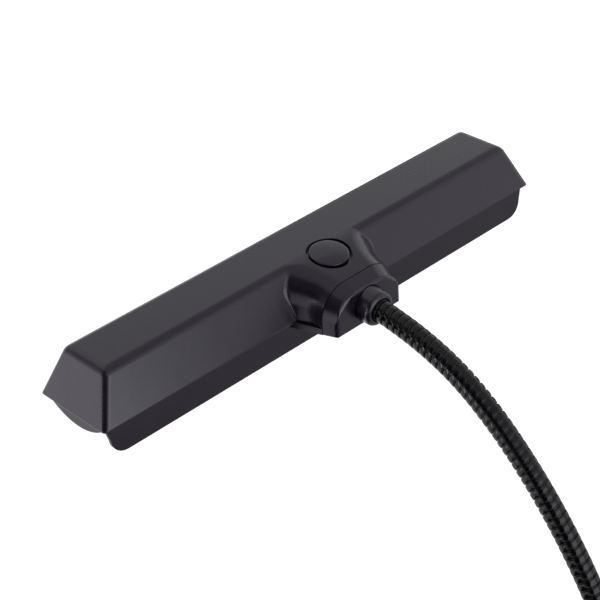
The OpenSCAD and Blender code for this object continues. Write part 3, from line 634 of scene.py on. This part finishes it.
# Half the hood's width at distances from the middle of the head, between its seam and its root
HOOD_FLARE = ((0.031, 0.0222), (0.028, 0.0225), (0.0255, 0.0232), (0.023, 0.0243))
HOOD_BACK = 0.006  # Distance from the middle of the head at which the hood ends inside the shell
SHOULDER_INSET = 0.45  # What the slanted shoulders lose where the hood is moved inwards
OVERCUT = 0.003  # How far a cutting shape begins in front of the face that it opens
COVER_SKIRT = 0.0033  # How far the cover reaches below the shell
COVER_RIM = 0.0005  # Setback of the cover's rounded rim
BOSS_SEAT = 0.0036  # Depth in the boss of the seat for the neck's ferrule
BOSS_ROOT = 0.0105  # Depth at which the boss ends inside the cover
BOSS_BORE = 0.0041  # Radius of the bore behind the seat
BOSS_LAP = 0.0012  # How far the boss's wall reaches into the cover
RING_DEPTH = 0.0009  # Depth of the gap round the boss
FOOT_LIFT = 0.0016  # How far the feet of the cover's shoulders are lifted at its front
HOLE_ROUND = 0.0003  # Setback of the rounded edge of the button's hole
FLANGE_LOW, FLANGE_TOP = -0.0038, -0.0026  # Heights of the button's flange
BUTTON_SIDES = 96


def button_seat():
    own = settings().button
    return HEAD + Vector((0, -own.reach, -own.sink))


def button_way():
    lean = settings().button.lean
    return Vector((0, -math.sin(lean), math.cos(lean)))


def shell_box(name, own, inset, low):
    """The shell's tapering box, moved inwards by inset."""
    lean = (RIM_DEPTH - own.roof_depth) / 2 / own.height
    end_lean = (RIM_LENGTH - own.roof_length) / 2 / own.height
    side, end = inset * math.hypot(1, lean), inset * math.hypot(1, end_lean)
    heights = (low, -inset)
    half_y = [RIM_DEPTH / 2 - side - (own.height + z) * lean for z in heights]
    half_x = [RIM_LENGTH / 2 - end - (own.height + z) * end_lean for z in heights]
    box = add_block(
        name, HEAD + Vector((-half_x[0], -half_y[0], low)), HEAD + Vector((half_x[0], half_y[0], -inset))
    )
    widen(box, lambda p: p.z > HEAD.z - 0.003, (half_x[1] / half_x[0], half_y[1] / half_y[0], 1), HEAD)
    return box


def hood_wedge(name, own, inset, low):
    """The hood in front of the roof: it widens towards the shell and has slanted shoulders."""
    front = -own.seam_reach - (OVERCUT if inset else 0)
    back = -HOOD_BACK
    run = own.seam_reach - own.hood_start
    slope, widening = own.seam_drop / run, (own.root_half - own.seam_half) / run

    def half_at(y):
        return own.seam_half + (y + own.seam_reach) * widening - inset

    def top_at(y):
        return (own.hood_start + y) * slope - inset

    def is_back(p):
        return p.y > HEAD.y - 0.02

    def is_top(a, b):
        return min(a.z, b.z) > HEAD.z - 0.012 and abs(a.y - b.y) > 0.01

    hood = add_block(
        name,
        HEAD + Vector((-half_at(front), front, low)),
        HEAD + Vector((half_at(front), back, top_at(front))),
    )
    widen(hood, is_back, (half_at(back) / half_at(front), 1, 1), HEAD)
    shift(hood, lambda p: is_back(p) and p.z > HEAD.z - 0.015, (0, 0, top_at(back) - top_at(front)))
    round_chosen(hood, is_top, own.chamfer - inset * SHOULDER_INSET, 1)
    for reach, _ in HOOD_FLARE:
        cut_through(hood, HEAD + Vector((0, -reach, 0)), (0, 1, 0))
    for reach, half in HOOD_FLARE:
        factors = ((half - inset) / half_at(-reach), 1, 1)
        widen(hood, lambda p: abs(p.y - HEAD.y + reach) < TOUCH, factors, HEAD)
    cut_through(hood, HEAD + Vector((0, 0, -inset)), (0, 0, 1), drop=True)
    return hood


class LAMP_OT_head_shell(Operator):
    """Model the head's top shell with its hood and the hole for the button"""

    bl_idname = "lamp.head_shell"
    bl_label = "Head shell"

    def execute(self, context):
        own, button = settings().head, settings().button
        shell = shell_box("shell_moulding", own, 0, -own.height)
        combine(shell, hood_wedge("hood", own, 0, -own.height), "UNION")
        tidy_mesh(shell, weld=SLACK)
        widest = own.ridge_round

        def weigh(a, b):
            local = (a + b) / 2 - HEAD
            if max(a.y, b.y) < HEAD.y - own.seam_reach + TOUCH:
                return 0
            if max(a.z, b.z) < HEAD.z - own.height + TOUCH:
                return own.rim_round / widest if abs(local.y) < RIM_DEPTH / 2 + SLACK else 0
            if abs(local.x) > own.roof_length / 2 - 0.001 and abs(a.z - b.z) > 0.01:
                return own.corner_round / widest
            if min(a.z, b.z) > HEAD.z - SLACK:
                return own.roof_round / widest
            run, rise = abs(a.y - b.y), abs(a.z - b.z)
            if run < TOUCH:
                return 0
            if abs(local.x) < own.root_half and rise < run / 2:
                return 1
            return own.junction_round / widest

        round_by_weight(shell, weigh, widest, 6, False)
        below = -own.height - 0.002
        combine(shell, shell_box("shell_hollow", own, own.wall, below), "DIFFERENCE")
        combine(shell, hood_wedge("hood_hollow", own, own.wall, below), "DIFFERENCE")

        place, up = button_seat(), button_way()
        deselect_all()
        bpy.ops.mesh.primitive_cylinder_add(
            vertices=BUTTON_SIDES, radius=button.hole, depth=0.012, location=place,
            rotation=(button.lean, 0, 0),
        )
        combine(shell, settle(named("button_drill")), "DIFFERENCE")

        def on_hole(a, b):
            return all(
                abs((p - place).cross(up).length - button.hole) < 2e-5 and (p - place).dot(up) > -0.0015
                for p in (a, b)
            )

        round_chosen(shell, on_hole, HOLE_ROUND, 2)
        mounted(smooth(shell), "head", "head_plastic", "head_shell")
        return {"FINISHED"}


def cover_block(name, hood, own, inset, low):
    """The cover's block between the seam and its front face, moved inwards by inset."""
    back = -hood.seam_reach + (0.001 if inset else -own.seam_gap)
    front = -own.reach + inset
    run = own.reach - hood.seam_reach
    slope, narrowing = (own.drop - hood.seam_drop) / run, (hood.seam_half - own.half) / run

    def top_at(y):
        return -hood.seam_drop + (y + hood.seam_reach) * slope - inset

    def half_at(y):
        return hood.seam_half + (y + hood.seam_reach) * narrowing - inset

    def is_front(p):
        return p.y < HEAD.y + front + SLACK

    def is_top(a, b):
        return min(a.z, b.z) > HEAD.z - 0.014 and abs(a.y - b.y) > 0.003

    def is_shoulder_foot(p):
        return is_front(p) and HEAD.z - 0.0202 < p.z < HEAD.z - 0.0125 and abs(p.x) > 0.012

    block = add_block(
        name,
        HEAD + Vector((-half_at(back), front, low + inset)),
        HEAD + Vector((half_at(back), back, top_at(back))),
    )
    widen(block, is_front, (half_at(front) / half_at(back), 1, 1), HEAD)
    shift(block, lambda p: is_front(p) and p.z > HEAD.z - 0.015, (0, 0, top_at(front) - top_at(back)))
    round_chosen(block, is_top, hood.chamfer - inset * SHOULDER_INSET, 1)
    shift(block, is_shoulder_foot, (0, 0, FOOT_LIFT))
    return block


def boss_profile(own):
    """The boss's section: its bore, the rolled edge of its mouth, its outside and the seat inside."""
    inner, outer, edge, lip = own.mouth_radius, own.boss_radius, own.boss_round, 0.0004
    bends = [math.radians(18 * k) for k in range(6)]
    return (
        [(inner, BOSS_SEAT), (inner, lip), (inner + lip / 4, lip / 4), (inner + lip, 0)]
        + [(outer - edge + edge * math.sin(a), edge - edge * math.cos(a)) for a in bends]
        + [(outer, BOSS_ROOT), (BOSS_BORE, BOSS_ROOT), (BOSS_BORE, BOSS_SEAT + 0.002)]
        + [(BOSS_BORE, BOSS_SEAT), (inner, BOSS_SEAT)]
    )


class LAMP_OT_neck_cover(Operator):
    """Model the cover in front of the hood's seam, with the boss that holds the neck"""

    bl_idname = "lamp.neck_cover"
    bl_label = "Neck cover"

    def execute(self, context):
        hood, own = settings().head, settings().cover
        low = -hood.height - COVER_SKIRT
        cover = cover_block("cover_moulding", hood, own, 0, low)

        def weigh(a, b):
            middle = (a + b) / 2 - HEAD
            if min(a.y, b.y) > HEAD.y - hood.seam_reach - 0.002:
                return 0
            if middle.z < low + 0.0002:
                return COVER_RIM / hood.ridge_round
            if middle.y < -own.reach + 0.0004:
                return own.front_round / hood.ridge_round
            return 1

        round_by_weight(cover, weigh, hood.ridge_round, 5, True)
        combine(cover, cover_block("cover_hollow", hood, own, hood.wall, low), "DIFFERENCE")

        mouth = HEAD + Vector((0, -(own.reach + own.boss_length * NECK_WAY.y), -NECK_DROP))
        way = Vector((0, math.cos(own.boss_tilt), math.sin(own.boss_tilt)))
        bore = plug(own.boss_radius - BOSS_LAP, BOSS_SEAT + 0.0004, BOSS_ROOT)
        combine(cover, turned("boss_bore", bore, mouth, way), "DIFFERENCE")
        face = mouth + way * ((HEAD.y - own.reach - mouth.y) / way.y)
        ring = plug(own.boss_radius + own.boss_gap, -OVERCUT, RING_DEPTH)
        combine(cover, turned("boss_ring", ring, face, (0, 1, 0)), "DIFFERENCE")
        boss = turned("neck_boss", boss_profile(own), mouth, way)
        mounted(smooth(boss, math.radians(40)), "head", "head_plastic")
        mounted(smooth(cover), "head", "head_plastic", "neck_cover")
        return {"FINISHED"}


class LAMP_OT_power_button(Operator):
    """Model the domed power button with the flange under the hood"""

    bl_idname = "lamp.power_button"
    bl_label = "Power button"

    def execute(self, context):
        own = settings().button
        r, crown, rings = own.radius, own.crown, 12
        flange = own.hole + 0.0008
        profile = [
            (AXIS, FLANGE_LOW), (flange, FLANGE_LOW), (flange, FLANGE_TOP), (r, FLANGE_TOP),
            (r, -0.0004), (r - 0.00008, -0.00016), (r - 0.00028, 0),
        ]
        for k in range(1, rings + 1):
            profile.append((r * (1 - k / rings) or AXIS, crown * (1 - (1 - k / rings) ** 2)))
        cap = turned("button_cap", profile, button_seat(), button_way(), BUTTON_SIDES)
        smooth(cap, math.radians(40))
        mounted(cap, "button", "head_plastic", "power_button", finish="button_plastic")
        return {"FINISHED"}


def bowed_shield(piece, cuts=8):
    """Curves the glare shield's outer face back towards its top."""
    own = settings().head
    top = HEAD.z - own.height
    face = min(v.co.y for v in piece.data.vertices if v.co.z < top - own.shield_height / 2)
    for step in range(1, cuts):
        cut_through(piece, (0, 0, top - own.shield_height * step / cuts), (0, 0, 1))

    def is_outer(p):
        return abs(p.y - face) < 0.0008

    heights = sorted({round(v.co.z, 6) for v in piece.data.vertices if is_outer(v.co)})
    for height in heights:
        down = min(max((top - height) / own.shield_height, 0), 1)
        back = own.shield_bow * (1 - down) ** 2
        shift(piece, lambda p: is_outer(p) and abs(p.z - height) < WELD, (0, back, 0))
    return smooth(piece)


class LAMP_OT_light_frame(Operator):
    """Round the edges of the light frame and its lens"""

    bl_idname = "lamp.light_frame"
    bl_label = "Light frame and lens"

    def execute(self, context):
        own = settings().clip
        skirt = bowed_shield(rounded_copy("light_frame", "frame_moulding", own.fine_round))
        mounted(skirt, "head", "head_plastic", "light_frame", finish="frame_plastic")
        lens = rounded_copy("lens", "diffuser", own.fine_round)
        mounted(lens, "head", "lens_diffuser", "lens")
        return {"FINISHED"}


# ---------------- gooseneck

# The neck's joints from the clip to the head
NECK_JOINTS = (
    "neck_lower_bend", "neck_side_bend", "neck_bend_03", "neck_side_04", "neck_bend_05", "neck_side_06",
    "neck_upper_bend", "neck_side_08", "neck_bend_09", "neck_side_10", "neck_bend_11", "neck_side_12",
    "neck_bend_13",
)
FOOT_REACH, TIP_REACH = 0.01327, 0.00507  # From the foot's middle and from the last joint
END_HANDLE = 0.001  # Reach of the curve's handles at its two ends

# One pitch of the wound coil, with its groove, thin bead, main hump and lip: place along the pitch, and
# height in millimetres over the outer radius
COIL_SHAPE = (
    (0.00, -0.6), (0.035, -0.6), (0.045, -0.3), (0.06, -0.15), (0.08, -0.08), (0.11, -0.07), (0.13, -0.12),
    (0.145, -0.32), (0.17, -0.32), (0.185, -0.15), (0.22, -0.07), (0.30, -0.025), (0.40, -0.005), (0.51, 0.0),
    (0.62, -0.01), (0.72, -0.035), (0.81, -0.07), (0.88, -0.12), (0.915, -0.2), (0.93, -0.6), (1.00, -0.6),
)


def neck_joints():
    """The ends of the neck's lengths: its foot, its joints and its tip."""
    places = {j["name"]: Vector(j["pos_m"]) for j in frame["joints"] if "pos_m" in j}
    inner = [places[name] for name in NECK_JOINTS]
    spacing = (inner[1] - inner[0]).length
    foot = inner[0] - Vector((0, 0, spacing))
    return [foot] + inner + [inner[-1] + NECK_WAY * spacing]


def trim(piece, low, high):
    """Leaves what lies between two heights, with closed ends."""
    cut_through(piece, (0, 0, low), (0, 0, -1), drop=True)
    cut_through(piece, (0, 0, high), (0, 0, 1), drop=True)


def coil_unit(own):
    """A straight length of coil between two joints, with closed ends, standing on the origin."""
    deselect_all()
    pitch = own.link / own.coils
    profile = [(own.radius + dip * MM, along * pitch) for along, dip in COIL_SHAPE]
    bpy.ops.mesh.primitive_plane_add(size=0.001)
    coil = named("coil_unit")
    choose_all(coil)
    bpy.ops.mesh.merge(type="CENTER")
    bpy.ops.transform.translate(value=(profile[0][0], 0, profile[0][1] - pitch))
    for (r, z), (next_r, next_z) in zip(profile, profile[1:]):
        bpy.ops.mesh.extrude_vertices_move(TRANSFORM_OT_translate={"value": (next_r - r, 0, next_z - z)})
    close_edit()
    settle(coil)
    add_modifier(
        coil, "SCREW", axis="Z", screw_offset=pitch, iterations=own.coils + 1, steps=own.steps,
        render_steps=own.steps, use_merge_vertices=True, merge_threshold=WELD, use_smooth_shade=True,
    )
    choose_all(coil)
    bpy.ops.mesh.remove_doubles(threshold=WELD)
    close_edit()
    trim(coil, 0, own.link)
    choose_all(coil)
    bpy.ops.mesh.normals_make_consistent(inside=False)
    close_edit()
    return coil


def neck_path(points, ways, gaps):
    """A smooth curve through the points, with handles of a third of the gap on each side."""
    deselect_all()
    bpy.ops.curve.primitive_bezier_curve_add(location=(0, 0, 0))
    path = bpy.context.object
    path.name = "neck_path"
    curve = path.data
    curve.resolution_u = 24
    curve.twist_mode = "MINIMUM"
    spline = curve.splines[0]
    spline.bezier_points.add(len(points) - len(spline.bezier_points))
    reach = [END_HANDLE] + [gap / 3 for gap in gaps] + [END_HANDLE]
    for k, knot in enumerate(spline.bezier_points):
        knot.handle_left_type = knot.handle_right_type = "FREE"
        knot.co = points[k]
        knot.handle_left = points[k] - ways[k] * reach[k]
        knot.handle_right = points[k] + ways[k] * reach[k + 1]
        knot.tilt = 0
        knot.radius = 1
    return path


class LAMP_OT_gooseneck(Operator):
    """Model the wound gooseneck, one length to each joint, bent along the neck's curve"""

    bl_idname = "lamp.gooseneck"
    bl_label = "Gooseneck"

    def execute(self, context):
        own = settings().neck
        joints = neck_joints()
        ways = [(b - a).normalized() for a, b in zip(joints, joints[1:])]
        middles = [(a + b) / 2 for a, b in zip(joints, joints[1:])]
        foot, tip = middles[0] - ways[0] * FOOT_REACH, joints[-1] + ways[-1] * TIP_REACH
        knots = [foot] + middles + [tip]
        gaps = [(b - a).length for a, b in zip(knots, knots[1:])]
        path = neck_path(knots, [ways[0]] + ways + [ways[-1]], gaps)

        unit = coil_unit(own)
        bodies = ["clip"] + ["neck_%02d" % k for k in range(2, 14)] + ["head"]
        last = len(bodies)
        start = gaps[0] - own.link
        for k in range(last + 1):
            pick(unit)
            bpy.ops.object.duplicate(linked=False)
            coil = named("neck_coil_%02d" % (k + 1))
            if k == 0:
                trim(coil, -start, own.link)
            if k == last:
                trim(coil, 0, gaps[-1])
            coil.location = (0, 0, start + own.link * k)
            settle(coil)
            add_modifier(coil, "CURVE", object=path, deform_axis="POS_Z")
            smooth(coil, math.radians(50))
            rides = {0: "clip", last: "head"}.get(k)
            nodes = ["neck_link_%02d" % (k + 1)] if k < last else []
            mounted(coil, rides, "neck_rings", *nodes)
            if rides is None:
                tuple(middles[k - 1])
                tuple(middles[k])
                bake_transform(coil)
        bpy.data.objects.remove(unit)
        bpy.data.objects.remove(path)
        return {"FINISHED"}


# ---------------- clip


class LAMP_OT_clip_body(Operator):
    """Round the edges of the battery case, its back and its sliding door"""

    bl_idname = "lamp.clip_body"
    bl_label = "Clip body"

    def execute(self, context):
        own = settings().clip
        for node, name, body, setback in (
            ("clip_case", "case_moulding", "clip", own.moulded_round),
            ("case_back", "back_moulding", "clip", own.fine_round),
            ("battery_door", "door_moulding", "door", own.fine_round),
        ):
            mounted(rounded_copy(node, name, setback), body, "clip_plastic", node)
        return {"FINISHED"}


class LAMP_OT_jaws(Operator):
    """Round the edges of the jaw lever and both rubber pads, and give the spring its steel finish"""

    bl_idname = "lamp.jaws"
    bl_label = "Jaws"

    def execute(self, context):
        own = settings().clip
        lever = rounded_copy("jaw_lever", "lever_moulding", own.moulded_round)
        mounted(lever, "jaw", "clip_plastic", "jaw_lever")
        for node, name, body in (("fixed_pad", "case_pad", "clip"), ("jaw_pad", "lever_pad", "jaw")):
            mounted(rounded_copy(node, name, own.fine_round), body, "pad_rubber", node)
        spring = rounded_copy("jaw_spring", "spring_wire", 0)
        mounted(spring, None, "steel", "jaw_spring")
        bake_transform(spring)
        return {"FINISHED"}


class LAMP_OT_inner_parts(Operator):
    """Give every solid that shows as it was packed its own finish"""

    bl_idname = "lamp.inner_parts"
    bl_label = "Inner parts"

    def execute(self, context):
        for part in frame["record"]["subparts"]:
            solid = frame["nodes"][part["node"]]
            solid.data.materials.clear()
            solid.data.materials.append(lamp_finish(part["material_slot"]))
        return {"FINISHED"}


# ---------------- stage

FLOOR_LEVEL = cad_box[0].z - 0.0004
CARD_LEVEL = -(HEAD.z - FLOOR_LEVEL - 0.001)  # Where a card lies just above the floor, from HEAD

# Studio cards, which show in reflections only: place from HEAD, size, way that they face, grey
CARDS = {
    "left_card": ((-0.95, 0.75, 0.95), (0.75, 0.6), (1, -0.8, -1), 0.1),
    "high_card": ((-1.0, -0.25, 1.0), (1.2, 1.2), (1, 0.25, -1), 0.1),
    "side_card": ((-1.0, -0.12, 0.42), (0.9, 0.45), (1, 0.1, -0.4), 0.0),
    "near_card": ((-0.85, -0.8, 0.2), (0.9, 0.8), (1, 1, -0.2), 0.0),
    "roof_card": ((1.12, 1.24, 1.1), (1.7, 1.1), (-1.12, -1.24, -1.1), 0.78),
    "top_card": ((0.4, -0.3, 1.0), (1.7, 1.5), (0, 0, -1), 0.62),
    "right_card": ((1.5, 0.75, -0.02), (1.9, 0.6), (-2, -1, 0), 0.05),
    "floor_card": ((-0.42, -0.42, CARD_LEVEL), (0.75, 0.8), (0, 0, 1), 0.0),
    "floor_front": ((0.07, -0.575, CARD_LEVEL + 0.002), (0.3, 0.6), (0, 0, 1), 0.5),
    "floor_side": ((0.525, -0.25, CARD_LEVEL), (1.15, 0.8), (0, 0, 1), 0.5),
    "floor_back": ((0.95, 0.6, CARD_LEVEL), (1.3, 0.9), (0, 0, 1), 0.08),
}

# Soft lights: the setting with its power, width, height, place from LIGHT_AIM
LIGHTS = {
    "left_light": ("key_power", 1.3, 0.5, (-1.1, 0.5, 0.0)),
    "strip_light": ("strip_power", 0.06, 0.6, (-1.05, 0.22, -0.05)),
    "front_light": ("fill_power", 0.34, 0.34, (-0.02, -0.5, 0.02)),
    "back_light": ("rim_power", 0.8, 0.3, (0.9, 0.4, 0.1)),
}
LIGHT_AIM = HEAD + Vector((0, -0.02, -0.02))

CAMERA_PLACE = HEAD + Vector((-420.9, -464.6, 378.5)) * MM
CAMERA_RIGHT = Vector((0.7166, -0.6951, -0.0577))
CAMERA_DOWN = Vector((-0.4176, -0.3613, -0.8337))
CAMERA_AHEAD = Vector((0.5586, 0.6215, -0.5492))


def seen_strength(tree, low, high):
    """High for rays that look at the backdrop, also in a reflection or through glass, low for others."""
    rays = tree.nodes.new("ShaderNodeLightPath")
    seen = rays.outputs["Is Camera Ray"]
    for name in ("Is Glossy Ray", "Is Transmission Ray"):
        either = tree.nodes.new("ShaderNodeMath")
        either.operation = "MAXIMUM"
        tree.links.new(seen, either.inputs[0])
        tree.links.new(rays.outputs[name], either.inputs[1])
        seen = either.outputs[0]
    limits = tree.nodes.new("ShaderNodeMapRange")
    limits.inputs["To Min"].default_value, limits.inputs["To Max"].default_value = low, high
    tree.links.new(seen, limits.inputs["Value"])
    return limits.outputs["Result"]


def add_floor(own):
    """A pale floor that keeps the lamp's shadow and is lifted to white where it is seen."""
    deselect_all()
    bpy.ops.mesh.primitive_plane_add(size=80, location=(0, 0, FLOOR_LEVEL))
    floor = settle(named("floor"))
    bench = NodeBench("floor_paper")
    bench.dress(Base_Color=bench.mottle(bench.noise(6, 3), own.floor, 0.985))
    bench.set(Roughness=0.9)
    glow = bench.add("ShaderNodeEmission", Color=(1, 1, 1, 1))
    bench.join(seen_strength(bench.tree, 0, own.floor_glow), glow.inputs["Strength"])
    both = bench.add("ShaderNodeAddShader")
    bench.join(bench.shader.outputs["BSDF"], both.inputs[0])
    bench.join(glow.outputs["Emission"], both.inputs[1])
    bench.surface(both.outputs[0])
    floor.data.materials.append(bench.material)


def studio_world(scene, level):
    """A white backdrop wherever it is seen, and a soft even light from all sides."""
    world = bpy.data.worlds.new("studio")
    scene.world = world
    world.use_nodes = True
    tree = world.node_tree
    back = tree.nodes["Background"]
    back.inputs["Color"].default_value = (1, 1, 1, 1)
    tree.links.new(seen_strength(tree, level, 1), back.inputs["Strength"])


def add_card(name, where, size, facing, grey):
    deselect_all()
    turn = Vector(facing).to_track_quat("Z", "Y").to_euler()
    bpy.ops.mesh.primitive_plane_add(size=1, location=HEAD + Vector(where), rotation=turn)
    card = named(name)
    card.scale = (*size, 1)
    settle(card)
    card.visible_camera = card.visible_diffuse = card.visible_shadow = card.visible_transmission = False
    bench = NodeBench(name)
    bench.surface(bench.add("ShaderNodeEmission", Color=(grey, grey, grey, 1)).outputs["Emission"])
    card.data.materials.append(bench.material)


def add_light(name, energy, width, height, where):
    deselect_all()
    bpy.ops.object.light_add(type="AREA", location=LIGHT_AIM + Vector(where))
    light = bpy.context.object
    light.name = name
    light.data.energy, light.data.shape = energy, "RECTANGLE"
    light.data.size, light.data.size_y = width, height
    light.visible_camera = False
    light.rotation_euler = Vector(where).to_track_quat("Z", "Y").to_euler()


def add_camera(scene, lens):
    deselect_all()
    bpy.ops.object.camera_add()
    camera = bpy.context.object
    camera.name = "product_camera"
    turn = Matrix((CAMERA_RIGHT, -CAMERA_DOWN, -CAMERA_AHEAD)).transposed()
    camera.matrix_world = Matrix.Translation(CAMERA_PLACE) @ turn.to_4x4()
    camera.data.lens = lens
    camera.data.sensor_width = 36
    scene.camera = camera


class LAMP_OT_stage(Operator):
    """Set up the floor, the soft lights and the camera"""

    bl_idname = "lamp.stage"
    bl_label = "Stage"

    def execute(self, context):
        own = settings().stage
        add_floor(own)
        studio_world(context.scene, own.ambient)
        for name, values in CARDS.items():
            add_card(name, *values)
        for name, (setting, *values) in LIGHTS.items():
            add_light(name, getattr(own, setting), *values)
        add_camera(context.scene, own.lens)
        context.scene.view_settings.view_transform = "Standard"
        return {"FINISHED"}


# ---------------- register and run

PIECES = (
    LAMP_OT_head_shell, LAMP_OT_neck_cover, LAMP_OT_power_button, LAMP_OT_light_frame, LAMP_OT_gooseneck,
    LAMP_OT_clip_body, LAMP_OT_jaws, LAMP_OT_inner_parts, LAMP_OT_stage,
)


class LAMP_PT_pieces(Panel):
    """Lists the lamp's pieces in the sidebar"""

    bl_label = "Reading lamp"
    bl_idname = "LAMP_PT_pieces"
    bl_space_type = "VIEW_3D"
    bl_region_type = "UI"
    bl_category = "Lamp"

    def draw(self, context):
        for piece in PIECES:
            self.layout.operator(piece.bl_idname)


GROUPS = (
    HeadSettings, CoverSettings, ButtonSettings, NeckSettings, ClipSettings, FinishSettings, StageSettings,
    LampSettings,
)
CLASSES = GROUPS + PIECES + (LAMP_PT_pieces,)


def register():
    for cls in CLASSES:
        bpy.utils.register_class(cls)
    bpy.types.Scene.reading_lamp = PointerProperty(type=LampSettings)


def unregister():
    del bpy.types.Scene.reading_lamp
    for cls in reversed(CLASSES):
        bpy.utils.unregister_class(cls)


def main():
    register()
    for piece in PIECES:
        group, name = piece.bl_idname.split(".")
        getattr(getattr(bpy.ops, group), name)()


if __name__ == "__main__":
    main()
